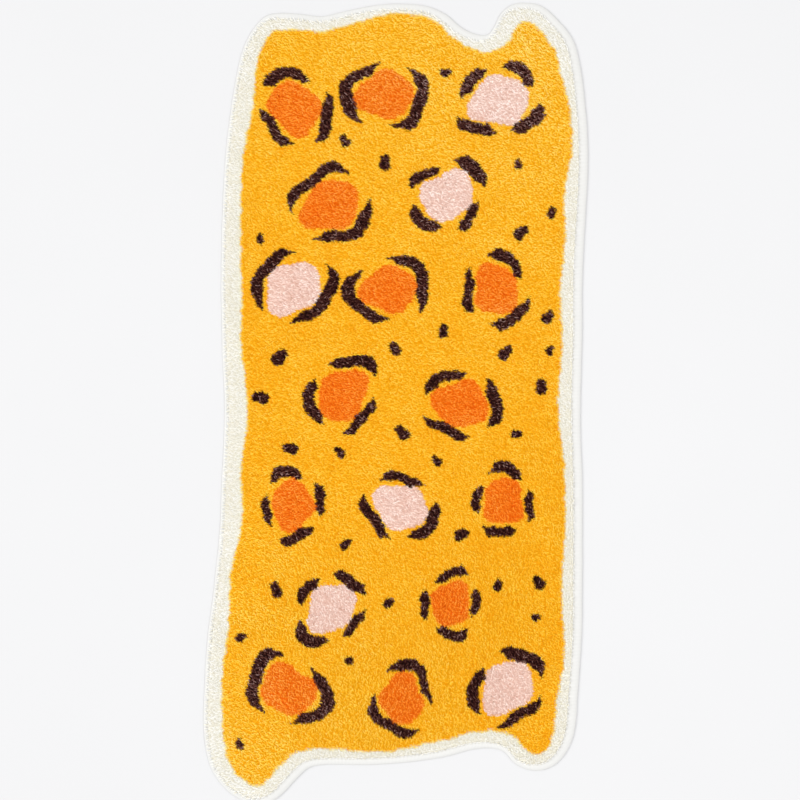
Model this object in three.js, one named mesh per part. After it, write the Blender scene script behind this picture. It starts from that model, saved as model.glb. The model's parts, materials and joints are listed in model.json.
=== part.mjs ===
// Faux animal hide rug, lying flat on the floor: a plush pile panel cut to a long hide outline, with
// its thin raw edge held in a folded binding tape that is sewn on all the way round.
// Millimetres, +Z up, +Y along the rug, origin on the floor under the middle of the rug's box.
import * as THREE from "three";

// Driving dimensions
const RUG_LENGTH = 1500;
const RUG_WIDTH = 720;
const PILE_TOP = 11; // floor to the top of the brushed pile
const TAPE_WIDTH = 14; // how far the binding tape reaches in from the finished edge
const TAPE_THICKNESS = 1;
const CLOTH_THICKNESS = 2; // woven backing at the edge, where the pile is sheared off
const SEWN_GAP = 0.3; // between the cloth and the tape, so that the two solids stay apart
const NAP_SWELL = 0.5; // height of the soft waves that brushing leaves in the pile
const NAP_WAVE = 240; // length of one such wave
const RIM_WOBBLE = 1.1; // how unevenly the pile spills over the tape
const RIM_WAVE = 190; // length of one such spill along the edge
const POINTS_PER_STRETCH = 3; // outline points between one table row and the next

const HALF_LENGTH = RUG_LENGTH / 2;
const HALF_WIDTH = RUG_WIDTH / 2;
const TAPE_TOP = 2 * TAPE_THICKNESS + CLOTH_THICKNESS + 2 * SEWN_GAP;

// The long sides, from the lower end to the upper one: along is a share of the half length, left and
// right are how far the edge stands from the middle line, as shares of the half width.
const FLANKS = [
  { along: -0.739, left: 0.998, right: 0.944 },
  { along: -0.59, left: 0.98, right: 0.966 },
  { along: -0.465, left: 0.948, right: 0.97 },
  { along: -0.315, left: 0.916, right: 0.971 },
  { along: -0.19, left: 0.905, right: 0.97 },
  { along: -0.028, left: 0.891, right: 0.96 },
  { along: 0.159, left: 0.904, right: 0.969 },
  { along: 0.334, left: 0.908, right: 0.972 },
  { along: 0.508, left: 0.899, right: 0.992 },
  { along: 0.633, left: 0.883, right: 1 },
  { along: 0.758, left: 0.85, right: 0.983 },
];

// The short ends, each from right to left: a rounded lobe at either corner, with a dip beside it and a
// shallow crown between. across is a share of the half width, reach a share of the half length.
const UPPER_END = [
  { across: 0.96, reach: 0.84 },
  { across: 0.926, reach: 0.904 },
  { across: 0.843, reach: 0.958 },
  { across: 0.75, reach: 0.994 },
  { across: 0.667, reach: 1 },
  { across: 0.599, reach: 0.994 },
  { across: 0.547, reach: 0.974 },
  { across: 0.511, reach: 0.941 },
  { across: 0.477, reach: 0.921 },
  { across: 0.412, reach: 0.923 },
  { across: 0.334, reach: 0.942 },
  { across: 0.262, reach: 0.971 },
  { across: 0.168, reach: 0.991 },
  { across: 0.033, reach: 0.998 },
  { across: -0.123, reach: 0.993 },
  { across: -0.252, reach: 0.98 },
  { across: -0.382, reach: 0.967 },
  { across: -0.496, reach: 0.972 },
  { across: -0.6, reach: 0.975 },
  { across: -0.673, reach: 0.968 },
  { across: -0.735, reach: 0.939 },
  { across: -0.79, reach: 0.891 },
  { across: -0.823, reach: 0.832 },
];
const LOWER_END = [
  { across: 0.937, reach: 0.794 },
  { across: 0.921, reach: 0.834 },
  { across: 0.887, reach: 0.869 },
  { across: 0.828, reach: 0.901 },
  { across: 0.75, reach: 0.915 },
  { across: 0.672, reach: 0.911 },
  { across: 0.61, reach: 0.894 },
  { across: 0.563, reach: 0.869 },
  { across: 0.495, reach: 0.86 },
  { across: 0.397, reach: 0.863 },
  { across: 0.256, reach: 0.881 },
  { across: 0.049, reach: 0.895 },
  { across: -0.159, reach: 0.901 },
  { across: -0.341, reach: 0.9 },
  { across: -0.45, reach: 0.908 },
  { across: -0.517, reach: 0.936 },
  { across: -0.585, reach: 0.971 },
  { across: -0.652, reach: 0.994 },
  { across: -0.73, reach: 1 },
  { across: -0.808, reach: 0.988 },
  { across: -0.886, reach: 0.961 },
  { across: -0.951, reach: 0.919 },
  { across: -0.985, reach: 0.869 },
  { across: -1, reach: 0.809 },
];

// The finished edge of the rug, a smooth closed line that runs anticlockwise seen from above.
function edgeLine() {
  const place = (across, along) => new THREE.Vector3(across * HALF_WIDTH, along * HALF_LENGTH, 0);
  const rightSide = FLANKS.map((row) => place(row.right, row.along));
  const leftSide = FLANKS.map((row) => place(-row.left, row.along)).reverse();
  const upper = UPPER_END.map((row) => place(row.across, row.reach));
  const lower = LOWER_END.map((row) => place(row.across, -row.reach)).reverse();
  return new THREE.CatmullRomCurve3([...rightSide, ...upper, ...leftSide, ...lower], true, "centripetal");
}

// Points along the edge, each with the direction that leads into the rug and its distance along the line.
// The smooth line overshoots its rows a little, so the points are scaled back to the rug's own box.
function edgePoints() {
  const line = edgeLine();
  const count = line.points.length * POINTS_PER_STRETCH;
  const share = (i) => i / count;
  const raw = Array.from({ length: count }, (_, i) => line.getPoint(share(i)));
  const box = new THREE.Box3().setFromPoints(raw);
  const middle = box.getCenter(new THREE.Vector3());
  const size = box.getSize(new THREE.Vector3());
  const scale = new THREE.Vector3(RUG_WIDTH / size.x, RUG_LENGTH / size.y, 1);
  let travelled = 0;
  return raw.map((point, i) => {
    const tangent = line.getTangent(share(i)).multiply(scale).normalize();
    const at = point.clone().sub(middle).multiply(scale);
    if (i > 0) travelled += point.distanceTo(raw[i - 1]);
    return { at, inward: new THREE.Vector3(-tangent.y, tangent.x, 0), travelled };
  });
}

const EDGE = edgePoints();

// One closed ring of points at a given distance in from the edge and a given height.
function ring(inset, height, wobble = 0) {
  return EDGE.map(({ at, inward, travelled }) => {
    const drift = 2 * Math.sin(travelled / (2 * RIM_WAVE));
    const spill = wobble * Math.sin((2 * Math.PI * travelled) / RIM_WAVE + drift);
    const point = at.clone().addScaledVector(inward, inset - spill);
    return point.setZ(height);
  });
}

// Soft swells that brushing leaves in the pile.
function napHeight(x, y) {
  const across = Math.sin((2 * Math.PI * (x + 0.4 * y)) / NAP_WAVE);
  const along = Math.sin((2 * Math.PI * (y - 0.25 * x)) / (1.7 * NAP_WAVE));
  return PILE_TOP - NAP_SWELL + NAP_SWELL * 0.5 * (across + along);
}

// A ring drawn in towards the rug's middle line, lying on the brushed pile.
function innerRing(outer, share) {
  const spine = 0.2 * HALF_LENGTH;
  return outer.map((point) => {
    const centre = new THREE.Vector3(0, THREE.MathUtils.clamp(point.y, -spine, spine), 0);
    const drawnIn = centre.lerp(point, share);
    return drawnIn.setZ(napHeight(drawnIn.x, drawnIn.y));
  });
}

// Skins a stack of rings. With closeUp the last ring joins the first, as round a tape; otherwise the
// first ring is the flat underside and the last is the middle of the top, and both are filled in.
function skin(rings, closeUp) {
  const count = rings[0].length;
  const positions = rings.flatMap((points) => points.flatMap((p) => [p.x, p.y, p.z]));
  const faces = [];
  const spans = closeUp ? rings.length : rings.length - 1;
  for (let k = 0; k < spans; k++) {
    const low = k * count;
    const high = ((k + 1) % rings.length) * count;
    for (let i = 0; i < count; i++) {
      const next = (i + 1) % count;
      faces.push(low + i, low + next, high + next, low + i, high + next, high + i);
    }
  }
  if (!closeUp) {
    const plan = (points) => points.map((p) => new THREE.Vector2(p.x, p.y));
    const fill = (points) => THREE.ShapeUtils.triangulateShape(plan(points), []);
    const top = (rings.length - 1) * count;
    for (const [a, b, c] of fill(rings[0])) faces.push(c, b, a);
    for (const [a, b, c] of fill(rings.at(-1))) faces.push(top + a, top + b, top + c);
  }
  const geometry = new THREE.BufferGeometry();
  geometry.setAttribute("position", new THREE.Float32BufferAttribute(positions, 3));
  geometry.setIndex(faces);
  geometry.computeVertexNormals();
  return geometry;
}

// The plush panel: a flat underside, a thin tongue of cloth that goes into the tape, and a pile that
// swells out over the tape and rounds up to the brushed top.
function pilePanel() {
  const tapeEdge = TAPE_WIDTH + SEWN_GAP;
  const tongueLow = TAPE_THICKNESS + SEWN_GAP;
  const tongueEnd = 2 * TAPE_THICKNESS + SEWN_GAP;
  const pileFoot = TAPE_TOP + SEWN_GAP;
  const rise = PILE_TOP - pileFoot;
  const profile = [
    { inset: tapeEdge, height: 0 },
    { inset: tapeEdge, height: tongueLow },
    { inset: tongueEnd, height: tongueLow },
    { inset: tongueEnd, height: tongueLow + CLOTH_THICKNESS },
    { inset: tapeEdge, height: tongueLow + CLOTH_THICKNESS },
    { inset: tapeEdge, height: pileFoot },
    { inset: 0.8 * TAPE_WIDTH, height: pileFoot + 0.12 * rise, wobble: RIM_WOBBLE },
    { inset: 0.75 * TAPE_WIDTH, height: pileFoot + 0.4 * rise, wobble: RIM_WOBBLE },
    { inset: 0.95 * TAPE_WIDTH, height: pileFoot + 0.7 * rise, wobble: RIM_WOBBLE },
    { inset: 1.4 * TAPE_WIDTH, height: pileFoot + 0.87 * rise },
  ];
  const shell = profile.map((row) => ring(row.inset, row.height, row.wobble));
  const shoulder = ring(2 * TAPE_WIDTH, 0);
  const top = [1, 0.84, 0.64, 0.42, 0.2].map((share) => innerRing(shoulder, share));
  return skin([...shell, ...top], false);
}

// The binding tape: one strip folded round the cloth's edge, open towards the rug.
function bindingTape() {
  const round = 2 * TAPE_THICKNESS;
  const middle = TAPE_TOP / 2;
  const section = [
    { inset: TAPE_WIDTH, height: 0 },
    { inset: TAPE_WIDTH, height: TAPE_THICKNESS },
    { inset: round, height: TAPE_THICKNESS },
    { inset: TAPE_THICKNESS, height: middle },
    { inset: round, height: TAPE_TOP - TAPE_THICKNESS },
    { inset: TAPE_WIDTH, height: TAPE_TOP - TAPE_THICKNESS },
    { inset: TAPE_WIDTH, height: TAPE_TOP },
    { inset: round, height: TAPE_TOP },
    { inset: 0.3 * round, height: 0.82 * TAPE_TOP },
    { inset: 0, height: middle },
    { inset: 0.3 * round, height: 0.18 * TAPE_TOP },
    { inset: round, height: 0 },
  ];
  return skin(section.map((row) => ring(row.inset, row.height)).reverse(), true);
}

const plush = new THREE.MeshStandardMaterial({ color: "#f8b22a", roughness: 0.95, metalness: 0 });
const tapeCloth = new THREE.MeshStandardMaterial({ color: "#f4f3ef", roughness: 0.8, metalness: 0 });

function piece(name, geometry, material) {
  const mesh = new THREE.Mesh(geometry, material);
  mesh.name = name;
  return mesh;
}

const rug = new THREE.Group();
rug.add(piece("pile_panel", pilePanel(), plush));
rug.add(piece("edge_binding", bindingTape(), tapeCloth));

export default rug;
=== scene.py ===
"""Faux animal hide rug: short brushed plush on a woven ground cloth, printed with rosettes, its edge bound
with white ribbed tape that is sewn on by machine. The rug lies flat on a pale floor, seen from above."""
import json
import math

import bpy
import numpy as np
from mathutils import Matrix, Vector
from mathutils.geometry import delaunay_2d_cdt

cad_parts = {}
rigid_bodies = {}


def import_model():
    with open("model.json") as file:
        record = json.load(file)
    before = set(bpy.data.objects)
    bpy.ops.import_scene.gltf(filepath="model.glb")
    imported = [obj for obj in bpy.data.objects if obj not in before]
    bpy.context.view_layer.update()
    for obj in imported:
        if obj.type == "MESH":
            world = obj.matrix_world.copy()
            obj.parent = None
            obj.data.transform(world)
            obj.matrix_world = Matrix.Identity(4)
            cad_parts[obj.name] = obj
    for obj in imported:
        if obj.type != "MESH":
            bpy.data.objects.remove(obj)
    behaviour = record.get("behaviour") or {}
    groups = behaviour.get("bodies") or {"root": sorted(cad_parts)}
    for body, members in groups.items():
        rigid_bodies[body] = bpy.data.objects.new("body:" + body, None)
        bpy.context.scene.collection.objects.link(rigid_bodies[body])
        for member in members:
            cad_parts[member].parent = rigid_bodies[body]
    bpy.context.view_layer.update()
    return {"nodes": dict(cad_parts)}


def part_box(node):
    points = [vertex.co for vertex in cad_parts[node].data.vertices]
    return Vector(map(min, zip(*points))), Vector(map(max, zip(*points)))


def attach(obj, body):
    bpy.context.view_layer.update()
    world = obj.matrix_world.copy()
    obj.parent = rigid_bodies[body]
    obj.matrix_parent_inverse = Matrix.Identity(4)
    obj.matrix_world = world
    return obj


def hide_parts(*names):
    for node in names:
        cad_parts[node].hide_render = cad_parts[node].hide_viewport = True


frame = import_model()

# Lengths are in millimetres and angles in degrees, unless a comment says otherwise
MM = 0.001

# Seeds of what is random, but for the waves below. The pile's and its dye's go up by one from band to band
SEEDS = {
    "rosettes": 7, "spots": 8, "pile": 7, "dye": 27,
    "lock_heading": 3, "lock_pitch": 4, "lock_size": 5, "lock_shape": 6, "stitch_size": 8,
}

# The binding tape and the cloth in it, as the solids have them
TAPE_LOW, TAPE_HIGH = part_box("edge_binding")
TAPE_HEIGHT = TAPE_HIGH.z / MM
TAPE_WALL = 1.0
CLOTH_GAP = 0.3
FOLD_TURN = {"inset": 0.6, "height": 0.82}  # the fold's upper turn; its height is a share of the tape's
HALF_WIDTH = round(TAPE_HIGH.x / MM)
HALF_LENGTH = round(TAPE_HIGH.y / MM)

# How finely the finished edge is followed
EDGE_POINTS = 2400
CORNER_STEPS = 16  # from one corner of the solid tape to the next
CLOTH_POINTS = 600  # round the rim of the cloth
FIELD_CELL = 3.0  # of the grid on which distances to the edge are measured
FIELD_MARGIN = 4  # cells of that grid beyond the rug
FIELD_SKIP = 2  # distances are measured to every second point of the edge
INSIDE_SKIP = 8  # every eighth point tells the inside from the outside
SAME_LEVEL = 0.05  # points this close in height lie on one turn of the fold

# The foot of the pile, a dense ground from which the locks part
GROUND_HEIGHT = 5.2
GROUND_CELL = 6.0
GROUND_ROW = 0.87  # distance between rows of ground points, in cells
GROUND_CLEAR = 0.6  # distance kept from the rim by ground points, in cells
FOOT_RISE = 4.0  # width over which the ground rises beside the tape
FOOT_PAINTED_SHADE = 1.5  # power on the ground's ink: painted shade, darker and stronger, for the foot deep among the locks

# The pile: locks of fibre, brushed one way, with swirls where a hand has turned the nap
LOCK_SPACING = 2.3
LOCK_DENSITY = 800000.0  # tries per square metre, of which the spacing keeps about one in seven
NAP_ANGLE = 168.0  # from +X: the pile is brushed to the left and a little upwards
NAP_STRAY = 54.0  # the most that a single lock strays from the nap
SWIRLS = [
    {"across": 0.0, "along": -520.0, "reach": 360.0, "turn": -80.0},
    {"across": 310.0, "along": -240.0, "reach": 270.0, "turn": -50.0},
]
SWIRL_FALL = 0.8  # a lower power keeps a swirl's turn further out
BANDS = 5  # the pile is made in bands along the rug, so that no piece is too heavy

# Lock shapes: how far a lock leans, how high it stands, how far it sways aside and how thick it is
LOCKS = [
    {"lean": 6.2, "rise": 4.5, "sway": 1.2, "girth": 2.1},
    {"lean": 5.0, "rise": 4.9, "sway": -1.5, "girth": 2.3},
    {"lean": 7.4, "rise": 4.0, "sway": -0.4, "girth": 1.9},
]
LOCK_ROOT = {"back": 0.2, "depth": 1.2}  # a share of the lean behind the lock's place, and a depth below it
LOCK_BEND = {"lean": 0.3, "sway": 0.2, "rise": 0.66}  # a lock's thickest place, as shares of its tip's
LOCK_PITCH = 0.16  # the most that a lock pitches up or down, in radians
LOCK_SIZE = {"least": (0.85, 0.85, 0.86), "most": (1.2, 1.15, 1.14)}  # scales along, across and upwards
OWN_SHADING = 0.4  # a lock's own share of its shading; the rest is that of the cloth it stands on
BAKE_MAP = "OFBake"  # the map that gives each lock a cell of its own for its colours

# Sewing: the tape is turned over further at the right of the rug than at the left
SEAM_INSET = {"mean": 11.0, "swing": 4.5}
TAPE_HEM = 2.0  # tape beyond the seam
TAPE_MAP = "tape_run"  # the tape's own map, in mm along it and across it
PUCKER = {"fold": 0.5, "seam": 0.35}  # how far a stitch draws the fold in and the seam down
STITCH_PITCH = 7.2
STITCH_LENGTH = 5.0
STITCH_FLAT = 0.6  # share of a stitch that lies level
STITCH_SUNK = 0.55  # depth of its ends in the tape
STITCH_SIZE = {"least": (0.3, 0.7, 0.9), "most": (1.0, 1.2, 1.1)}  # scales along, across and upwards
SEAM_HEIGHT = 0.94 * TAPE_HEIGHT + 0.1
THREAD = 1.1  # thickness, more than that of real thread, so that it shows
THREAD_SIDES = 5

# Printing inks: colour, how much the depth of a lock's dye strays, how much its neighbours shade it, and
# the share of locks that stay pale
CREAM, GOLD, ORANGE, PINK, BROWN = range(5)
INKS = {
    CREAM: {"hex": "f4f1e6", "stray": 0.42, "shaded": 0.0, "pale": 0.0},
    GOLD: {"hex": "fbc42e", "stray": 0.22, "shaded": 0.03, "pale": 0.0},
    ORANGE: {"hex": "f78f23", "stray": 0.2, "shaded": 0.045, "pale": 0.0},
    PINK: {"hex": "f5d8cb", "stray": 0.36, "shaded": 0.07, "pale": 0.0},
    BROWN: {"hex": "45221c", "stray": 0.16, "shaded": 0.0, "pale": 0.14},
}
DYE_MEAN = 1.06
DYE_LIMITS = (0.4, 1.8)
DYE_SKEW = 3.0  # shape of the spread between locks: most take a little less dye, and a few much more
# Painted shade and light along each lock: the root is drawn in deeper, darker colour for the shade among
# the locks, and the tip paler, where light catches it
DYE_AND_SHADE_ALONG_LOCK = [1.7, 1.15, 1.15, 1.15, 0.75]  # at a lock's root, round its bend and at its tip
PALE_DYE = 0.5  # share of the dye that a pale lock takes
TONE_DRIFT = {"ends": 0.17, "upwards": 0.05, "slant": 0.17}  # paler towards the ends, most at two corners
BLEED = 5.0  # width over which the golden field's dye thins out into the rim

# The print's layout. A rosette's and a spot's shape are given as shares of its radius
CREAM_RIM = {"sides": 37.0, "ends": 22.0}  # width of the unprinted rim
RIM_ENDS = {"from": 520.0, "over": 150.0, "across": 230.0}  # where along and across the rug the rim narrows
MOTIF_CLEAR = 5.0  # golden field left clear of motifs along the rim
ROSETTE_ROWS = [3, 2, 3, 2, 3, 2, 3]  # rosettes in each row, from the lower end to the upper one
ROSETTE_PITCH = {"across": 206.0, "along": 187.0, "stray": 20.0}
LOWEST_ROW = -550.0
ROSETTE_RADIUS = (60.0, 78.0)
ROSETTE_STROKES = {"fewest": 2, "most": 4}
ROSETTE_SHAPE = {
    "oval": 0.10, "three_sided": 0.06,  # how far its outline strays from a circle
    "fill": 0.66, "fill_wave": 0.05,  # the coloured middle and its wavy edge
    "ring": 0.88, "ring_wave": 0.05,  # the broken ring round it, which wanders in and out
    "stroke": 0.17, "stroke_reach": 0.72, "thickest": 0.155,  # half thickness; more reach closes the gaps
}
SPOT_COUNT = 30
SPOT_TRIES = 4000
SPOT_RADIUS = (8.0, 15.0)
SPOT_SHAPE = {"oval": 0.22, "three_sided": 0.08}
SPOT_CLEAR = {"box": 30.0, "rosette": 16.0, "spot": 42.0, "rim": 14.0}  # least distance from each of these
ROSETTE_REACH = 1.12  # how far a rosette reaches, in radii, for the spots round it

# Uneven waves: how high they are, in the unit of what they bend, how long, and the seed of their course
WAVES = {
    "rim": {"height": 7.0, "length": 210.0, "seed": 11},
    "rim_fray": {"height": 1.6, "length": 26.0, "seed": 12},
    "motif_fray_across": {"height": 1.3, "length": 17.0, "seed": 13},
    "motif_fray_along": {"height": 1.3, "length": 17.0, "seed": 14},
    "dye": {"height": 0.07, "length": 120.0, "seed": 15},
    "dye_streak": {"height": 0.04, "length": 34.0, "seed": 16},
    "nap": {"height": 8.0, "length": 260.0, "seed": 17},
    "ground": {"height": 0.35, "length": 190.0, "seed": 18},
    "fold": {"height": 0.25, "length": 60.0, "seed": 19},
}
WAVE_COUNT = 6  # waves that cross each other in each of these
WAVE_LENGTHS = (0.7, 1.5)  # their lengths, as shares of the one in the table
WAVE_PEAK = 3.2  # sum of the waves that counts as their full height


def colour(code):
    """An sRGB hex value as linear red, green and blue."""
    parts = np.array([int(code[i:i + 2], 16) for i in (0, 2, 4)]) / 255
    return np.where(parts <= 0.04045, parts / 12.92, ((parts + 0.055) / 1.055) ** 2.4)


def paint(code):
    """An sRGB hex value as a shader socket takes it."""
    return (*colour(code), 1.0)


def put(tree, kind, settings=None, inputs=None):
    """Adds a node with its settings, and gives each input, by name or place, a value or a link."""
    made = tree.nodes.new(kind)
    for name, value in (settings or {}).items():
        setattr(made, name, value)
    for key, value in (inputs or {}).items():
        socket = made.inputs[key] if isinstance(key, int) else next(
            s for s in made.inputs if s.name == key and s.enabled)
        if isinstance(value, bpy.types.NodeSocket):
            tree.links.new(value, socket)
        else:
            socket.default_value = value
    return made


def out(made, name):
    """The output of a node that has this name and is in use."""
    return next(s for s in made.outputs if s.name == name and s.enabled)


def mesh_of(name, points, faces):
    """A smooth-shaded mesh from points in millimetres."""
    made = bpy.data.meshes.new(name)
    made.from_pydata(np.asarray(points) * MM, [], faces)
    made.polygons.foreach_set("use_smooth", np.ones(len(faces), bool))
    made.update()
    return made


def show(name, mesh, *materials):
    """An object in the scene, with its materials."""
    piece = bpy.data.objects.new(name, mesh)
    bpy.context.scene.collection.objects.link(piece)
    for material in materials:
        piece.data.materials.append(material)
    return piece


def store(mesh, name, kind, values):
    """Keeps a value, or a colour, for each point of a mesh."""
    attribute = mesh.attributes.new(name, kind, "POINT")
    key = "color" if kind == "FLOAT_COLOR" else "value"
    attribute.data.foreach_set(key, np.asarray(values, np.float32).ravel())


# The rug's finished edge, read from the solid tape

def finished_edge(count):
    """Points along the finished edge, anticlockwise, and the directions that lead into the rug."""
    tape = frame["nodes"]["edge_binding"].data
    points = np.array([v.co for v in tape.vertices]) / MM
    turn = points[np.abs(points[:, 2] - FOLD_TURN["height"] * TAPE_HEIGHT) < SAME_LEVEL][:, :2]
    left = list(np.unique(np.round(turn, 2), axis=0))  # each corner once
    walk = [left.pop(0)]
    while left:
        nearest = int(np.argmin([np.hypot(*(p - walk[-1])) for p in left]))
        walk.append(left.pop(nearest))
    walk = np.array(walk)
    if enclosed(walk) < 0:
        walk = walk[::-1]
    line = smooth_loop(walk, count)
    inward = turned_left(line)
    return line - inward * FOLD_TURN["inset"], inward


def enclosed(line):
    """The area inside a closed line, negative if the line runs clockwise."""
    after = np.roll(line, -1, axis=0)
    return np.sum(line[:, 0] * after[:, 1] - after[:, 0] * line[:, 1]) / 2


def smooth_loop(corners, count):
    """Evenly spaced points on a smooth closed line through the corners."""
    after = np.roll(corners, -1, axis=0)
    length = np.hypot(*(after - corners).T)[:, None]
    slope = (after - np.roll(corners, 1, axis=0)) / (length + np.roll(length, 1, axis=0))
    t = np.linspace(0, 1, CORNER_STEPS, endpoint=False)[None, :, None]
    start, end = corners[:, None, :], after[:, None, :]
    leave, arrive = (length * slope)[:, None, :], (length * np.roll(slope, -1, axis=0))[:, None, :]
    fine = (start * (2 * t ** 3 - 3 * t ** 2 + 1) + leave * (t ** 3 - 2 * t ** 2 + t)
            + end * (3 * t ** 2 - 2 * t ** 3) + arrive * (t ** 3 - t ** 2)).reshape(-1, 2)
    closed = np.vstack([fine, fine[:1]])
    run = np.concatenate([[0], np.cumsum(np.hypot(*np.diff(closed, axis=0).T))])
    at = np.linspace(0, run[-1], count, endpoint=False)
    return np.column_stack([np.interp(at, run, closed[:, k]) for k in (0, 1)])


def turned_left(line):
    """Unit directions to the left of a closed line, at each of its points."""
    along = np.roll(line, -1, axis=0) - np.roll(line, 1, axis=0)
    along /= np.hypot(*along.T)[:, None]
    return np.column_stack([-along[:, 1], along[:, 0]])


EDGE, INWARD = finished_edge(EDGE_POINTS)
SEAM = SEAM_INSET["mean"] - SEAM_INSET["swing"] * INWARD[:, 0]


def measure_edge(cell):
    """On a square grid over the rug: how far it is to the finished edge, and how far inside the seam."""
    margin = FIELD_MARGIN * cell
    low = EDGE.min(0) - margin
    count = np.ceil((EDGE.max(0) + margin - low) / cell).astype(int)
    across, along = (low[k] + cell * np.arange(count[k]) for k in (0, 1))
    line, inset = EDGE[::FIELD_SKIP], SEAM[::FIELD_SKIP]
    edge_rows, seam_rows = [], []
    for y in along:
        gaps = np.hypot(across[:, None] - line[:, 0], y - line[:, 1])
        nearest = gaps.argmin(1)
        edge_rows.append(gaps.min(1))
        seam_rows.append(gaps.min(1) - inset[nearest])
    return {"low": low, "cell": cell, "edge": np.array(edge_rows), "seam": np.array(seam_rows)}


EDGE_FIELD = measure_edge(FIELD_CELL)


def distance_to(line, places):
    """How far each place lies from the finished edge, or inside the seam."""
    grid = EDGE_FIELD[line]
    spot = (places - EDGE_FIELD["low"]) / EDGE_FIELD["cell"]
    most = np.array(grid.shape[::-1]) - 1.001  # just inside the last cell
    x, y = np.clip(spot, 0, most).T
    i, j = x.astype(int), y.astype(int)
    u, v = x - i, y - j
    return ((grid[j, i] * (1 - u) + grid[j, i + 1] * u) * (1 - v)
            + (grid[j + 1, i] * (1 - u) + grid[j + 1, i + 1] * u) * v)


def inside(places):
    """Which places lie inside the finished edge: those with an odd number of crossings to their right."""
    start = EDGE[::INSIDE_SKIP]
    end = np.roll(start, -1, axis=0)
    x, y = places[:, :1], places[:, 1:]
    straddles = (start[:, 1] > y) != (end[:, 1] > y)
    rise = np.where(start[:, 1] == end[:, 1], 1, end[:, 1] - start[:, 1])  # level stretches don't count
    crossing = start[:, 0] + (y - start[:, 1]) * (end[:, 0] - start[:, 0]) / rise
    return (straddles & (x < crossing)).sum(1) % 2 == 1


def ripple(places, name):
    """How high the uneven waves of this name stand at each place."""
    row = WAVES[name]
    rng = np.random.default_rng(row["seed"])
    total = np.zeros(len(places))
    for _ in range(WAVE_COUNT):
        heading, phase = rng.uniform(0, 2 * math.pi, 2)
        length = row["length"] * rng.uniform(*WAVE_LENGTHS)
        total += np.sin(2 * math.pi * (places @ [math.cos(heading), math.sin(heading)]) / length + phase)
    return row["height"] * np.clip(total / WAVE_PEAK, -1, 1)


# The print: rosettes and spots on a golden field, inside an unprinted cream rim

def lay_out_rosettes():
    """Rosettes in staggered rows, each with its own stray, size, turn and strokes. One in three is pink."""
    rng = np.random.default_rng(SEEDS["rosettes"])
    stray = ROSETTE_PITCH["stray"]
    rosettes = []
    for row, count in enumerate(ROSETTE_ROWS):
        for column in range(count):
            rosettes.append({
                "across": (column - (count - 1) / 2) * ROSETTE_PITCH["across"] + rng.uniform(-stray, stray),
                "along": LOWEST_ROW + row * ROSETTE_PITCH["along"] + rng.uniform(-stray, stray),
                "radius": rng.uniform(*ROSETTE_RADIUS),
                "turn": rng.uniform(0, 2 * math.pi),
                "strokes": int(rng.integers(ROSETTE_STROKES["fewest"], ROSETTE_STROKES["most"] + 1)),
                "wobble": rng.uniform(0, 2 * math.pi, 3),
                "fill": PINK if (row + 2 * column) % 3 == 1 else ORANGE,
            })
    return rosettes


def lay_out_spots(rosettes):
    """Spots strewn between the rosettes, clear of them, of each other and of the rim."""
    rng = np.random.default_rng(SEEDS["spots"])
    reach = np.array([HALF_WIDTH, HALF_LENGTH]) - SPOT_CLEAR["box"]
    spots = []
    for _ in range(SPOT_TRIES):
        place = rng.uniform(-reach, reach)
        radius = rng.uniform(*SPOT_RADIUS)
        clear_of_rosettes = all(
            math.hypot(place[0] - rosette["across"], place[1] - rosette["along"])
            > ROSETTE_REACH * rosette["radius"] + radius + SPOT_CLEAR["rosette"]
            for rosette in rosettes)
        clear_of_spots = all(
            math.hypot(*(place - spot["place"])) > radius + spot["radius"] + SPOT_CLEAR["spot"]
            for spot in spots)
        if clear_of_rosettes and clear_of_spots and inside(place[None, :])[0]:
            if distance_to("edge", place[None, :])[0] > CREAM_RIM["sides"] + radius + SPOT_CLEAR["rim"]:
                spots.append({"place": place, "radius": radius, "turn": rng.uniform(0, math.pi)})
        if len(spots) == SPOT_COUNT:
            break
    return spots


ROSETTES = lay_out_rosettes()
SPOTS = lay_out_spots(ROSETTES)


def past_rim(places):
    """How far each place lies inside the golden field."""
    endwards = np.clip((np.abs(places[:, 1]) - RIM_ENDS["from"]) / RIM_ENDS["over"], 0, 1)
    midwards = np.clip(1 - np.abs(places[:, 0]) / RIM_ENDS["across"], 0, 1)
    rim = CREAM_RIM["sides"] + (CREAM_RIM["ends"] - CREAM_RIM["sides"]) * endwards * midwards
    return distance_to("edge", places) - rim - ripple(places, "rim") - ripple(places, "rim_fray")


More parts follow.
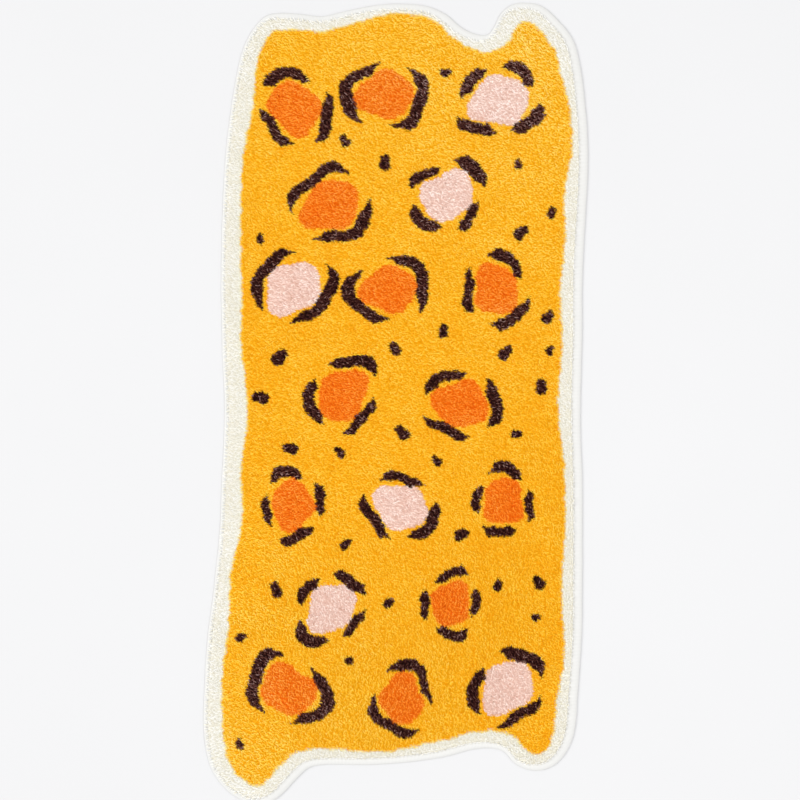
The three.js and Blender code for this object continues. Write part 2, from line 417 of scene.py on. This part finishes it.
def ink_at(places):
    """Which ink is printed at each place."""
    printed = past_rim(places)
    plain = np.where(printed > 0, GOLD, CREAM)
    inks = plain.copy()
    frayed = places + np.column_stack([
        ripple(places, "motif_fray_across"), ripple(places, "motif_fray_along")])
    form = ROSETTE_SHAPE
    for rosette in ROSETTES:
        x, y = (frayed - (rosette["across"], rosette["along"])).T
        angle = np.arctan2(y, x) - rosette["turn"]
        a, b, c = rosette["wobble"]
        swell = 1 + form["oval"] * np.sin(2 * angle + a) + form["three_sided"] * np.sin(3 * angle + b)
        reach = np.hypot(x, y) / (rosette["radius"] * swell)
        inks[reach < form["fill"] + form["fill_wave"] * np.sin(4 * angle + b)] = rosette["fill"]
        beat = np.sin(rosette["strokes"] * angle + c)
        stroke = np.clip(form["stroke"] * (beat + form["stroke_reach"]), 0, form["thickest"])
        wander = form["ring_wave"] * np.sin(5 * angle + a + c)
        inks[np.abs(reach - form["ring"] - wander) < stroke] = BROWN
    for spot in SPOTS:
        x, y = (frayed - spot["place"]).T
        angle = np.arctan2(y, x) - spot["turn"]
        swell = 1 + SPOT_SHAPE["oval"] * np.cos(2 * angle) + SPOT_SHAPE["three_sided"] * np.cos(3 * angle)
        inks[np.hypot(x, y) < spot["radius"] * swell] = BROWN
    return np.where(printed > MOTIF_CLEAR, inks, plain)


def of_inks(key):
    """One column of the table of inks."""
    return np.array([row[key] for row in INKS.values()])


INK_SHADES = np.array([colour(code) for code in of_inks("hex")])


def dye_depth(places):
    """How deep the dye lies at each place, about 1 on average: paler towards the ends and two corners, with
    streaks.
    """
    across, along = places.T / (EDGE.max(0)[:, None])
    tone_drift = TONE_DRIFT["ends"] * along ** 2 + TONE_DRIFT["upwards"] * along + TONE_DRIFT["slant"] * across * along
    return DYE_MEAN - tone_drift + ripple(places, "dye") + ripple(places, "dye_streak")


def dyed_and_shaded(places, seed):
    """The colours along each lock, root to tip, from its place. Deeper dye is darker and stronger. The
    root's extra depth and the neighbours' shading are painted shade.
    """
    rng = np.random.default_rng(seed)
    inks = ink_at(places)
    pale = rng.random(len(places)) < of_inks("pale")[inks]
    uneven = (rng.gamma(DYE_SKEW, 1.0, len(places)) - DYE_SKEW) / math.sqrt(DYE_SKEW)
    stray, shaded = (of_inks(key)[inks] * uneven for key in ("stray", "shaded"))
    depth = np.clip(dye_depth(places) + stray, *DYE_LIMITS) * np.where(pale, PALE_DYE, 1)
    gold = np.clip(past_rim(places) / BLEED + 0.5, 0, 1)[:, None]
    field = INK_SHADES[GOLD] ** gold * INK_SHADES[CREAM] ** (1 - gold)
    shades = np.where((inks == GOLD)[:, None] | (inks == CREAM)[:, None], field, INK_SHADES[inks])
    return (1 - shaded)[:, None, None] * shades[:, None, :] ** (depth[:, None] * DYE_AND_SHADE_ALONG_LOCK)[:, :, None]


def nap_at(places):
    """The way the pile is brushed, in radians from +X."""
    angle = NAP_ANGLE + ripple(places, "nap")
    for swirl in SWIRLS:
        away = np.hypot(places[:, 0] - swirl["across"], places[:, 1] - swirl["along"]) / swirl["reach"]
        angle = angle + swirl["turn"] * np.clip(1 - away, 0, 1) ** SWIRL_FALL
    return np.radians(angle)


# Materials

WAVE_TURN = 2 * math.pi / 20  # scale of a wave texture whose bands lie one unit apart


def new_material(name):
    """A material with no nodes yet."""
    made = bpy.data.materials.new(name)
    made.use_nodes = True
    made.node_tree.nodes.clear()
    return made


def finish_material(made, **inputs):
    """Ends a material in one shader, whose inputs are given by name."""
    named = {key.replace("_", " ").title().replace("Ior", "IOR"): value for key, value in inputs.items()}
    shader = put(made.node_tree, "ShaderNodeBsdfPrincipled", None, named)
    put(made.node_tree, "ShaderNodeOutputMaterial", None, {"Surface": out(shader, "BSDF")})
    return made


def flecked_dye(tree, fleck, detail, darkest, lightest):
    """The dye that is stored on a piece, lighter and darker in flecks about this wide."""
    dye = put(tree, "ShaderNodeAttribute", {"attribute_name": "dye"})
    place = put(tree, "ShaderNodeTexCoord")
    noise = put(tree, "ShaderNodeTexNoise", None, {
        "Vector": out(place, "Object"), "Scale": 1 / (fleck * MM), "Detail": detail})
    shade = put(tree, "ShaderNodeMapRange", None, {
        "Value": out(noise, "Fac"), "From Min": 0.3, "From Max": 0.7,
        "To Min": darkest, "To Max": lightest})
    tint = put(tree, "ShaderNodeVectorMath", {"operation": "SCALE"}, {
        "Vector": out(dye, "Color"), "Scale": out(shade, "Result")})
    return out(tint, "Vector")


def brushed_plush():
    # Polyester plush, printed and then brushed: dull fibre with a soft bloom at glancing angles, each
    # lock a little lighter or darker, with finer streaks of fibre about 1.4 mm wide in it.
    made = new_material("brushed_polyester_plush")
    tint = flecked_dye(made.node_tree, fleck=1.4, detail=1.0, darkest=0.93, lightest=1.05)
    return finish_material(made, base_color=tint, roughness=0.92, sheen_weight=0.02, sheen_roughness=0.45,
                           specular_ior_level=0.04)


def pile_foot():
    # The dense foot of the same plush, seen only between the locks: the dye has sunk in less evenly there,
    # in flecks about 2.5 mm wide, and its stored colour is painted darker, for the shade among the locks.
    made = new_material("plush_foot")
    tint = flecked_dye(made.node_tree, fleck=2.5, detail=2.0, darkest=0.78, lightest=1.0)
    return finish_material(made, base_color=tint, roughness=0.95, specular_ior_level=0.15)


def woven_backing():
    # Plain-woven polyester-cotton ground cloth, natural white: threads cross over and under, which gives
    # the underside an even matt checker of small ridges. Real threads lie about 1 mm apart, too fine to
    # show, so they are drawn 3 mm apart, with fibre about 1.2 mm wide in them.
    thread_spacing = 3.0
    fibre = 1.2
    made = new_material("plain_woven_backing")
    tree = made.node_tree
    place = put(tree, "ShaderNodeTexCoord")
    grid = put(tree, "ShaderNodeVectorMath", {"operation": "SCALE"}, {
        "Vector": out(place, "Object"), "Scale": 1 / (2 * thread_spacing * MM)})
    over = put(tree, "ShaderNodeTexChecker", None, {"Vector": out(grid, "Vector"), "Scale": 2.0})
    threads = put(tree, "ShaderNodeTexNoise", None, {
        "Vector": out(place, "Object"), "Scale": 1 / (fibre * MM), "Detail": 2.0})
    shade = put(tree, "ShaderNodeMix", {"data_type": "RGBA"}, {
        "Factor": out(over, "Fac"), "A": paint("ded8c8"), "B": paint("eee9dc")})
    height = put(tree, "ShaderNodeMath", {"operation": "MULTIPLY_ADD"}, {
        0: out(threads, "Fac"), 1: 0.5, 2: out(over, "Fac")})
    bump = put(tree, "ShaderNodeBump", None, {
        "Strength": 0.5, "Distance": 0.5 * MM, "Height": out(height, "Value")})
    return finish_material(made, base_color=out(shade, "Result"), roughness=0.9, normal=out(bump, "Normal"),
                           specular_ior_level=0.2)


def ribbed_tape():
    # Polyester binding tape, woven with fine ribs across it. Real ribs lie under 1 mm apart, too fine to
    # show, so they are drawn 2.6 mm apart: faint bars on a smooth, slightly silky white.
    rib_spacing = 2.6
    made = new_material("ribbed_polyester_tape")
    tree = made.node_tree
    run = put(tree, "ShaderNodeUVMap", {"uv_map": TAPE_MAP})
    rib = put(tree, "ShaderNodeTexWave", {"bands_direction": "X", "wave_profile": "SIN"}, {
        "Vector": out(run, "UV"), "Scale": WAVE_TURN / rib_spacing, "Distortion": 0.4, "Detail": 1.0,
        "Detail Scale": 1.5})
    shade = put(tree, "ShaderNodeMix", {"data_type": "RGBA"}, {
        "Factor": out(rib, "Fac"), "A": paint("d0d0cc"), "B": paint("dad9d6")})
    bump = put(tree, "ShaderNodeBump", None, {
        "Strength": 0.35, "Distance": 0.3 * MM, "Height": out(rib, "Fac")})
    return finish_material(made, base_color=out(shade, "Result"), roughness=0.62, sheen_weight=0.15,
                           normal=out(bump, "Normal"), specular_ior_level=0.35)


def sewing_thread():
    # Spun polyester sewing thread, off-white, but painted greyer than real thread, for the shade in the
    # dips of
    # the seam: its plies show as slanted bands. They are drawn 0.8 mm apart, coarser than real ones, as the
    # thread itself is.
    ply_spacing = 0.8
    made = new_material("spun_polyester_thread")
    tree = made.node_tree
    place = put(tree, "ShaderNodeTexCoord")
    ply = put(tree, "ShaderNodeTexWave", {"bands_direction": "DIAGONAL"}, {
        "Vector": out(place, "Object"), "Scale": WAVE_TURN / (ply_spacing * MM), "Distortion": 0.6})
    # Its grey is painted shade of the seam's dips, laid on the thread
    shade = put(tree, "ShaderNodeMix", {"data_type": "RGBA"}, {
        "Factor": out(ply, "Fac"), "A": paint("bab7ab"), "B": paint("d6d3c8")})
    return finish_material(made, base_color=out(shade, "Result"), roughness=0.7, specular_ior_level=0.3)


PLUSH = brushed_plush()
FOOT = pile_foot()
BACKING = woven_backing()
TAPE = ribbed_tape()
SHADED_THREAD = sewing_thread()


# Geometry Nodes

def new_tree(name, sizes):
    """A tree with a geometry, in and out, and named inputs; sizes gives each one's socket kind."""
    tree = bpy.data.node_groups.new(name, "GeometryNodeTree")
    tree.interface.new_socket("Geometry", in_out="OUTPUT", socket_type="NodeSocketGeometry")
    for label, kind in {"Geometry": "Geometry", **sizes}.items():
        tree.interface.new_socket(label, in_out="INPUT", socket_type="NodeSocket" + kind)
    return tree, put(tree, "NodeGroupInput")


def close_tree(tree, instances, material):
    """Ends a tree: what stands on the points becomes one mesh of one material."""
    real = put(tree, "GeometryNodeRealizeInstances", None, {"Geometry": instances})
    painted = put(tree, "GeometryNodeSetMaterial", None, {
        "Geometry": out(real, "Geometry"), "Material": material})
    put(tree, "NodeGroupOutput", None, {"Geometry": out(painted, "Geometry")})
    return tree


def grow(tree, ground, values):
    """Runs a tree on a ground mesh and returns what it makes as a plain mesh."""
    holder = show("holder", ground)
    modifier = holder.modifiers.new("grown", "NODES")
    modifier.node_group = tree
    for item in tree.interface.items_tree:
        if item.in_out == "INPUT" and item.name in values:
            modifier[item.identifier] = values[item.name]
    bpy.context.view_layer.update()
    evaluated = holder.evaluated_get(bpy.context.evaluated_depsgraph_get())
    made = bpy.data.meshes.new_from_object(evaluated)
    holder.modifiers.remove(modifier)
    bpy.data.objects.remove(holder)
    bpy.data.meshes.remove(ground)
    return made


def pile_tree(shapes):
    """Locks at even spacing on a ground, each leaning along the ground's nap."""
    tree, sizes = new_tree("brushed_pile", {
        "Lock spacing": "Float", "Lock density": "Float", "Stray": "Float", "Seed": "Int"})
    points = put(tree, "GeometryNodeDistributePointsOnFaces", {"distribute_method": "POISSON"}, {
        "Mesh": out(sizes, "Geometry"), "Distance Min": out(sizes, "Lock spacing"),
        "Density Max": out(sizes, "Lock density"), "Seed": out(sizes, "Seed")})
    nap = put(tree, "GeometryNodeInputNamedAttribute", {"data_type": "FLOAT"}, {"Name": "nap"})
    away = put(tree, "ShaderNodeMath", {"operation": "MULTIPLY"}, {0: out(sizes, "Stray"), 1: -1.0})
    stray = put(tree, "FunctionNodeRandomValue", {"data_type": "FLOAT"}, {
        "Min": out(away, "Value"), "Max": out(sizes, "Stray"), "Seed": SEEDS["lock_heading"]})
    heading = put(tree, "ShaderNodeMath", {"operation": "ADD"}, {
        0: out(nap, "Attribute"), 1: out(stray, "Value")})
    pitch = put(tree, "FunctionNodeRandomValue", {"data_type": "FLOAT"}, {
        "Min": -LOCK_PITCH, "Max": LOCK_PITCH, "Seed": SEEDS["lock_pitch"]})
    turn = put(tree, "ShaderNodeCombineXYZ", None, {"Y": out(pitch, "Value"), "Z": out(heading, "Value")})
    lean = put(tree, "FunctionNodeEulerToRotation", None, {"Euler": out(turn, "Vector")})
    upright = put(tree, "FunctionNodeAlignRotationToVector", {"axis": "Z"}, {
        "Vector": out(points, "Normal")})
    stance = put(tree, "FunctionNodeRotateRotation", {"rotation_space": "LOCAL"}, {
        "Rotation": out(upright, "Rotation"), "Rotate By": out(lean, "Rotation")})
    size = put(tree, "FunctionNodeRandomValue", {"data_type": "FLOAT_VECTOR"}, {
        "Min": LOCK_SIZE["least"], "Max": LOCK_SIZE["most"], "Seed": SEEDS["lock_size"]})
    shape = put(tree, "FunctionNodeRandomValue", {"data_type": "INT"}, {
        "Min": 0, "Max": len(LOCKS) - 1, "Seed": SEEDS["lock_shape"]})
    locks = put(tree, "GeometryNodeCollectionInfo", None, {
        "Collection": shapes, "Separate Children": True, "Reset Children": True})
    stood = put(tree, "GeometryNodeInstanceOnPoints", None, {
        "Points": out(points, "Points"), "Instance": out(locks, "Instances"), "Pick Instance": True,
        "Instance Index": out(shape, "Value"), "Rotation": out(stance, "Rotation"),
        "Scale": out(size, "Value")})
    return close_tree(tree, out(stood, "Instances"), PLUSH)


def stitch_tree(stitch):
    """Stitches at even spacing along a closed seam."""
    tree, sizes = new_tree("machine_stitches", {"Pitch": "Float"})
    seam = put(tree, "GeometryNodeMeshToCurve", None, {"Mesh": out(sizes, "Geometry")})
    even = put(tree, "GeometryNodeResampleCurve", {"mode": "LENGTH"}, {
        "Curve": out(seam, "Curve"), "Length": out(sizes, "Pitch")})
    along = put(tree, "GeometryNodeInputTangent")
    heading = put(tree, "FunctionNodeAlignRotationToVector", {"axis": "X", "pivot_axis": "Z"}, {
        "Vector": out(along, "Tangent")})
    thread = put(tree, "GeometryNodeObjectInfo", None, {"Object": stitch})
    shown = put(tree, "FunctionNodeRandomValue", {"data_type": "FLOAT_VECTOR"}, {
        "Min": STITCH_SIZE["least"], "Max": STITCH_SIZE["most"], "Seed": SEEDS["stitch_size"]})
    sewn = put(tree, "GeometryNodeInstanceOnPoints", None, {
        "Points": out(even, "Curve"), "Instance": out(thread, "Geometry"),
        "Rotation": out(heading, "Rotation"), "Scale": out(shown, "Value")})
    return close_tree(tree, out(sewn, "Instances"), SHADED_THREAD)


# Pieces

def edge_ring(row, count):
    """A ring of points along the edge; the row's inset is counted from a share of the seam's own."""
    step = len(EDGE) // count
    inset = row["inset"] + row["share"] * SEAM[::step]
    ring = EDGE[::step] + INWARD[::step] * inset[:, None]
    return np.column_stack([ring, np.full(len(ring), row["height"])])


def faces_between(rings, count, closed=False):
    """Faces from each ring of count points to the next one and, if closed, from the last to the first."""
    faces = []
    for near in range(rings if closed else rings - 1):
        here, there = near * count, (near + 1) % rings * count
        for i in range(count):
            after = (i + 1) % count
            faces.append((here + i, here + after, there + after, there + i))
    return faces


def fill_ring(places, count):
    """Triangles that fill a ring, the first count of the places, through all the places inside it."""
    inside_only, same_place = 1, 1e-4
    corners = [Vector(place) for place in places]
    ring = [(i, (i + 1) % count) for i in range(count)]
    found, _, triangles, *_ = delaunay_2d_cdt(corners, ring, [], inside_only, same_place)
    assert len(found) == len(places)
    return triangles


def ground_places(clear):
    """Places for the ground's points, in staggered rows inside the rim."""
    across = np.arange(-HALF_WIDTH - 2 * GROUND_CELL, HALF_WIDTH + 2 * GROUND_CELL, GROUND_CELL)
    along = np.arange(-HALF_LENGTH - GROUND_CELL, HALF_LENGTH + GROUND_CELL, GROUND_CELL * GROUND_ROW)
    grid = np.array([(x + GROUND_CELL / 2 * (k % 2), y) for k, y in enumerate(along) for x in across])
    grid = grid[inside(grid)]
    return grid[distance_to("seam", grid) > clear + GROUND_CLEAR * GROUND_CELL]


def ground_cloth():
    """Points and faces of the cloth with the foot of its pile, and which of the faces carry pile."""
    count = CLOTH_POINTS
    tongue = TAPE_WALL + CLOTH_GAP
    clear = TAPE_HEM + CLOTH_GAP
    profile = [
        {"share": 1.0, "inset": clear, "height": 0.0},
        {"share": 1.0, "inset": clear, "height": tongue},
        {"share": 0.6, "inset": 0.0, "height": tongue},
        {"share": 0.6, "inset": 0.0, "height": TAPE_HEIGHT - tongue},
        {"share": 1.0, "inset": clear, "height": TAPE_HEIGHT - tongue},
        {"share": 1.0, "inset": clear, "height": TAPE_HEIGHT - 0.6},
        {"share": 1.0, "inset": clear + 1.4, "height": GROUND_HEIGHT - 0.5},
        {"share": 1.0, "inset": clear + FOOT_RISE, "height": GROUND_HEIGHT},
    ]
    bare_bands = 5  # between the profile's first rows, up to the tape's hem
    rings = [edge_ring(row, count) for row in profile]
    faces = faces_between(len(profile), count)
    grid = ground_places(clear + FOOT_RISE)
    first = (len(profile) - 1) * count
    ground = fill_ring(np.vstack([rings[-1][:, :2], grid]), count)
    faces += [tuple(first + i for i in triangle) for triangle in ground]
    piled = slice(bare_bands * count, len(faces))
    faces += [tuple(reversed(triangle)) for triangle in fill_ring(rings[0][:, :2], count)]
    swollen = np.column_stack([grid, GROUND_HEIGHT + ripple(grid, "ground")])
    return np.vstack([*rings, swollen]), faces, piled


def with_alpha(shades):
    """Colours with a fourth part, for a colour attribute."""
    return np.column_stack([shades, np.ones(len(shades))])


def ground_piece(points, faces, piled):
    """The ground cloth: printed where it carries pile, plain and flat-shaded below."""
    mesh = mesh_of("ground_cloth", points, faces)
    # The ground's ink is raised to a power that paints it darker: painted shade deep among the locks
    store(mesh, "dye", "FLOAT_COLOR", with_alpha(INK_SHADES[ink_at(points[:, :2])] ** FOOT_PAINTED_SHADE))
    piece = show("ground_cloth", mesh, FOOT, BACKING)
    bare = np.ones(len(faces), bool)
    bare[piled] = False
    mesh.polygons.foreach_set("material_index", bare.astype(np.int32))
    mesh.polygons.foreach_set("use_smooth", ~bare)
    return piece


def lock_shape(row):
    """One lock of fibre: a three-sided spindle that rises from its root and bends over along +X."""
    lean, rise, sway, half = row["lean"], row["rise"], row["sway"], row["girth"] / 2
    root = Vector((-LOCK_ROOT["back"] * lean, 0, -LOCK_ROOT["depth"]))
    bend = Vector((LOCK_BEND["lean"] * lean, LOCK_BEND["sway"] * sway, LOCK_BEND["rise"] * rise))
    tip = Vector((lean, sway, rise))
    upward = Vector((root.z - tip.z, 0, tip.x - root.x)).normalized()
    points = [root]
    for k in range(3):
        angle = math.radians(90 + 120 * k)
        points.append(bend + half * (math.cos(angle) * Vector((0, -1, 0)) + math.sin(angle) * upward))
    points.append(tip)
    faces = []
    for here, after in ((1, 2), (2, 3), (3, 1)):
        faces += [(0, here, after), (after, here, 4)]
    mesh = mesh_of("lock", points, faces)
    # Where the root, the three points round the bend and the tip lie in a cell of the map
    spread = [(0.5, 0.05), (0.1, 0.4), (0.5, 0.4), (0.9, 0.4), (0.5, 0.95)]
    cell = mesh.uv_layers.new(name=BAKE_MAP)
    for loop in mesh.loops:
        cell.data[loop.index].uv = spread[loop.vertex_index]
    return mesh


def dye_and_shade_locks(mesh, seed):
    """Dyes the locks as the print lies on them, paints shade at their roots, and returns how many there
    are.
    """
    places = np.empty(len(mesh.vertices) * 3, np.float32)
    mesh.vertices.foreach_get("co", places)
    locks = places.reshape(-1, len(DYE_AND_SHADE_ALONG_LOCK), 3)[:, :, :2] / MM
    store(mesh, "dye", "FLOAT_COLOR", with_alpha(dyed_and_shaded(locks[:, 1:].mean(1), seed).reshape(-1, 3)))
    return len(locks)


def soften_locks(mesh):
    """Light soaks through a pile, so its locks are shaded much as the cloth they stand on is: their normals
    lean upwards."""
    normals = np.empty(len(mesh.vertices) * 3, np.float32)
    mesh.vertex_normals.foreach_get("vector", normals)
    normals = normals.reshape(-1, 3) * OWN_SHADING + (0, 0, 1 - OWN_SHADING)
    mesh.normals_split_custom_set_from_vertices(normals / np.linalg.norm(normals, axis=1)[:, None])


def part_cells(mesh, count):
    """Gives each of a piece's locks its own cell of the map, in rows."""
    cells = mesh.uv_layers[BAKE_MAP].uv
    places = np.empty(len(mesh.loops) * 2, np.float32)
    cells.foreach_get("vector", places)
    side = math.ceil(math.sqrt(count))
    number = np.repeat(np.arange(count), len(mesh.loops) // count)
    corner = np.column_stack([number % side, number // side])
    cells.foreach_set("vector", ((corner + places.reshape(-1, 2)) / side).astype(np.float32).ravel())


def pile(points, faces):
    """The brushed pile, in bands along the rug."""
    shapes = bpy.data.collections.new("lock_shapes")
    for k, row in enumerate(LOCKS):
        shapes.objects.link(bpy.data.objects.new(f"lock_{k}", lock_shape(row)))
    tree = pile_tree(shapes)
    middles = np.array([points[list(face), 1].mean() for face in faces])
    limits = np.quantile(middles, np.linspace(0, 1, BANDS + 1))
    limits[-1] += 1  # so that the last band takes in the last face
    nap = nap_at(points[:, :2])
    bands = []
    for k in range(BANDS):
        chosen = [face for face, y in zip(faces, middles) if limits[k] <= y < limits[k + 1]]
        ground = mesh_of("ground", points, chosen)
        store(ground, "nap", "FLOAT", nap)
        mesh = grow(tree, ground, {
            "Lock spacing": LOCK_SPACING * MM, "Lock density": LOCK_DENSITY,
            "Stray": math.radians(NAP_STRAY), "Seed": SEEDS["pile"] + k})
        count = dye_and_shade_locks(mesh, SEEDS["dye"] + k)
        soften_locks(mesh)
        part_cells(mesh, count)
        mesh.name = f"pile_band_{k + 1}"
        bands.append(show(f"pile_band_{k + 1}", mesh))
    for lock in list(shapes.objects):
        bpy.data.objects.remove(lock)
    bpy.data.collections.remove(shapes)
    return bands


def tape_section():
    """The tape's section: out along the floor to the fold, round it, in to the hem above, and back inside.
    A row's inset is counted from a share of the seam's own, and its pucker is a share of the full pull."""
    top = TAPE_HEIGHT
    return [
        {"share": 1.0, "inset": TAPE_HEM, "height": 0.15, "pucker": 0.0},
        {"share": 0.5, "inset": 0.0, "height": 0.0, "pucker": 0.0},
        {"share": 0.0, "inset": 2.0, "height": 0.0, "pucker": 0.0},
        {"share": 0.0, "inset": 0.7, "height": 0.06 * top, "pucker": 0.1},
        {"share": 0.0, "inset": 0.15, "height": 0.15 * top, "pucker": 0.2},
        {"share": 0.0, "inset": 0.0, "height": 0.25 * top, "pucker": 0.3},
        {"share": 0.0, "inset": 0.25, "height": 0.36 * top, "pucker": 0.3},
        {"share": 0.0, "inset": 0.95, "height": 0.48 * top, "pucker": 0.25},
        {"share": 0.2, "inset": 0.0, "height": 0.68 * top, "pucker": 0.2},
        {"share": 0.4, "inset": 0.0, "height": 0.88 * top, "pucker": 0.4},
        {"share": 0.7, "inset": 0.0, "height": 1.0 * top, "pucker": 0.8},
        {"share": 1.0, "inset": -0.6, "height": 0.95 * top, "pucker": 1.0},
        {"share": 1.0, "inset": 0.6, "height": 0.95 * top, "pucker": 1.0},
        {"share": 1.0, "inset": TAPE_HEM - 0.3, "height": 0.98 * top, "pucker": 0.4},
        {"share": 1.0, "inset": TAPE_HEM, "height": 0.93 * top, "pucker": 0.2},
        {"share": 1.0, "inset": TAPE_HEM - 0.2, "height": top - TAPE_WALL + 0.1, "pucker": 0.0},
        {"share": 0.6, "inset": 0.0, "height": 0.95 * top - TAPE_WALL, "pucker": 0.0},
        {"share": 0.3, "inset": 0.0, "height": 0.78 * top - TAPE_WALL, "pucker": 0.0},
        {"share": 0.0, "inset": 1.3, "height": 0.26 * top, "pucker": 0.0},
        {"share": 0.3, "inset": 0.0, "height": 0.6 * TAPE_WALL, "pucker": 0.0},
        {"share": 1.0, "inset": TAPE_HEM, "height": TAPE_WALL, "pucker": 0.0},
    ]


def tape_rings(section, run):
    """The section's rings along the edge. At every stitch the fold is drawn in and the seam down."""
    pull = 0.5 + 0.5 * np.cos(2 * math.pi * run / STITCH_PITCH)
    uneven = ripple(EDGE, "fold")
    rings = []
    for row in section:
        at_fold = row["share"] == 0
        drawn = PUCKER["fold"] * row["pucker"] * pull + uneven if at_fold else 0.0
        inset = row["inset"] + row["share"] * SEAM + drawn
        ring = EDGE + INWARD * np.maximum(inset, 0)[:, None]
        height = row["height"] - (0.0 if at_fold else PUCKER["seam"] * row["pucker"] * pull)
        rings.append(np.column_stack([ring, np.broadcast_to(height, len(EDGE))]))
    return rings


def binding_tape():
    """The folded tape, with a map that runs along it and across it."""
    section = tape_section()
    count = len(EDGE)
    steps = np.hypot(*(np.roll(EDGE, -1, axis=0) - EDGE).T)
    run = np.concatenate([[0], np.cumsum(steps)])
    across = [0.0]
    for row, after in zip(section, section[1:] + section[:1]):
        step = after["inset"] - row["inset"] + (after["share"] - row["share"]) * SEAM_INSET["mean"]
        across.append(across[-1] + math.hypot(step, after["height"] - row["height"]))
    corners = []
    for near, far in zip(across, across[1:]):
        for start, end in zip(run, run[1:]):
            corners += [(start, near), (end, near), (end, far), (start, far)]
    mesh = mesh_of("binding_tape", np.vstack(tape_rings(section, run[:-1])),
                   faces_between(len(section), count, closed=True))
    mesh.uv_layers.new(name=TAPE_MAP).uv.foreach_set("vector", np.array(corners, np.float32).ravel())
    return show("binding_tape", mesh, TAPE)


def stitch_shape():
    """One stitch: a thread that rises out of the tape, runs along it and goes down again."""
    half, radius = STITCH_LENGTH / 2, THREAD / 2
    level = STITCH_FLAT * half
    course = [(-half, -STITCH_SUNK), (-level, 0.0), (level, 0.0), (half, -STITCH_SUNK)]
    points = []
    for x, z in course:
        for k in range(THREAD_SIDES):
            angle = 2 * math.pi * k / THREAD_SIDES
            points.append((x, radius * math.cos(angle), z + radius * math.sin(angle)))
    last = (len(course) - 1) * THREAD_SIDES
    ends = [tuple(reversed(range(THREAD_SIDES))), tuple(range(last, last + THREAD_SIDES))]
    return mesh_of("stitch", points, faces_between(len(course), THREAD_SIDES) + ends)


def seam_stitches():
    """Machine stitches all round the seam."""
    stitch = bpy.data.objects.new("stitch", stitch_shape())
    ring = edge_ring({"share": 1.0, "inset": 0.0, "height": SEAM_HEIGHT}, len(EDGE))
    seam = bpy.data.meshes.new("seam")
    seam.from_pydata(ring * MM, [(i, (i + 1) % len(ring)) for i in range(len(ring))], [])
    mesh = grow(stitch_tree(stitch), seam, {"Pitch": STITCH_PITCH * MM})
    mesh.name = "seam_stitches"
    bpy.data.objects.remove(stitch)
    return show("seam_stitches", mesh)


points, faces, piled = ground_cloth()
cloth = ground_piece(points, faces, piled)
bands = pile(points, faces[piled])
tape = binding_tape()
stitches = seam_stitches()


# Stage: a pale floor, soft studio light and the camera straight above

FLOOR_REACH = 4000.0
FLOOR_DROP = 0.4  # the floor lies a hair below the rug, so that no two faces coincide
FLOOR_PATCHES = 3.0  # lighter and darker patches of board in a metre
LIGHTS = [  # places and sizes in metres, power in watts
    {"name": "key", "place": (-8.0, 0.8, 5.6), "size": 4.0, "power": 420},
    {"name": "fill", "place": (1.5, -0.5, 5.0), "size": 3.0, "power": 127},
]
SURROUND = {"hex": "fbfbfd", "strength": 0.8}
PICTURE_SPAN = 1.497  # metres of floor across the picture
PICTURE_MIDDLE = (0.0082, 0.007)  # metres from the rug's own
LENS = 70.0


def studio_floor():
    # Matt painted board: even, pale and without gloss.
    made = new_material("matt_painted_board")
    tree = made.node_tree
    place = put(tree, "ShaderNodeTexCoord")
    patch = put(tree, "ShaderNodeTexNoise", None, {"Vector": out(place, "Object"), "Scale": FLOOR_PATCHES})
    shade = put(tree, "ShaderNodeMix", {"data_type": "RGBA"}, {
        "Factor": out(patch, "Fac"), "A": paint("d3d3d3"), "B": paint("d5d5d5")})
    finish_material(made, base_color=out(shade, "Result"), roughness=0.9, specular_ior_level=0.1)
    signs = [(-1, -1), (1, -1), (1, 1), (-1, 1)]
    corners = [(x * FLOOR_REACH, y * FLOOR_REACH, -FLOOR_DROP) for x, y in signs]
    return show("floor", mesh_of("floor", corners, [(0, 1, 2, 3)]), made)


def soft_light(row):
    """A wide square light, aimed at the middle of the rug."""
    light = bpy.data.lights.new(row["name"], "AREA")
    light.size = row["size"]
    light.energy = row["power"]
    lamp = bpy.data.objects.new(row["name"], light)
    lamp.location = row["place"]
    lamp.rotation_euler = (-Vector(row["place"])).to_track_quat("-Z", "Y").to_euler()
    bpy.context.scene.collection.objects.link(lamp)


floor = studio_floor()
for row in LIGHTS:
    soft_light(row)
world = bpy.data.worlds.new("studio")
world.use_nodes = True
world.node_tree.nodes["Background"].inputs["Color"].default_value = paint(SURROUND["hex"])
world.node_tree.nodes["Background"].inputs["Strength"].default_value = SURROUND["strength"]
bpy.context.scene.world = world
bpy.context.scene.view_settings.view_transform = "Standard"

eye = bpy.data.cameras.new("camera")
eye.lens = LENS
camera = bpy.data.objects.new("camera", eye)
camera.location = (*PICTURE_MIDDLE, PICTURE_SPAN * LENS / eye.sensor_width)
bpy.context.scene.collection.objects.link(camera)
bpy.context.scene.camera = camera

# The frame
for piece in [cloth, *bands, tape, stitches]:
    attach(piece, "root")
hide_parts("pile_panel")
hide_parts("edge_binding")
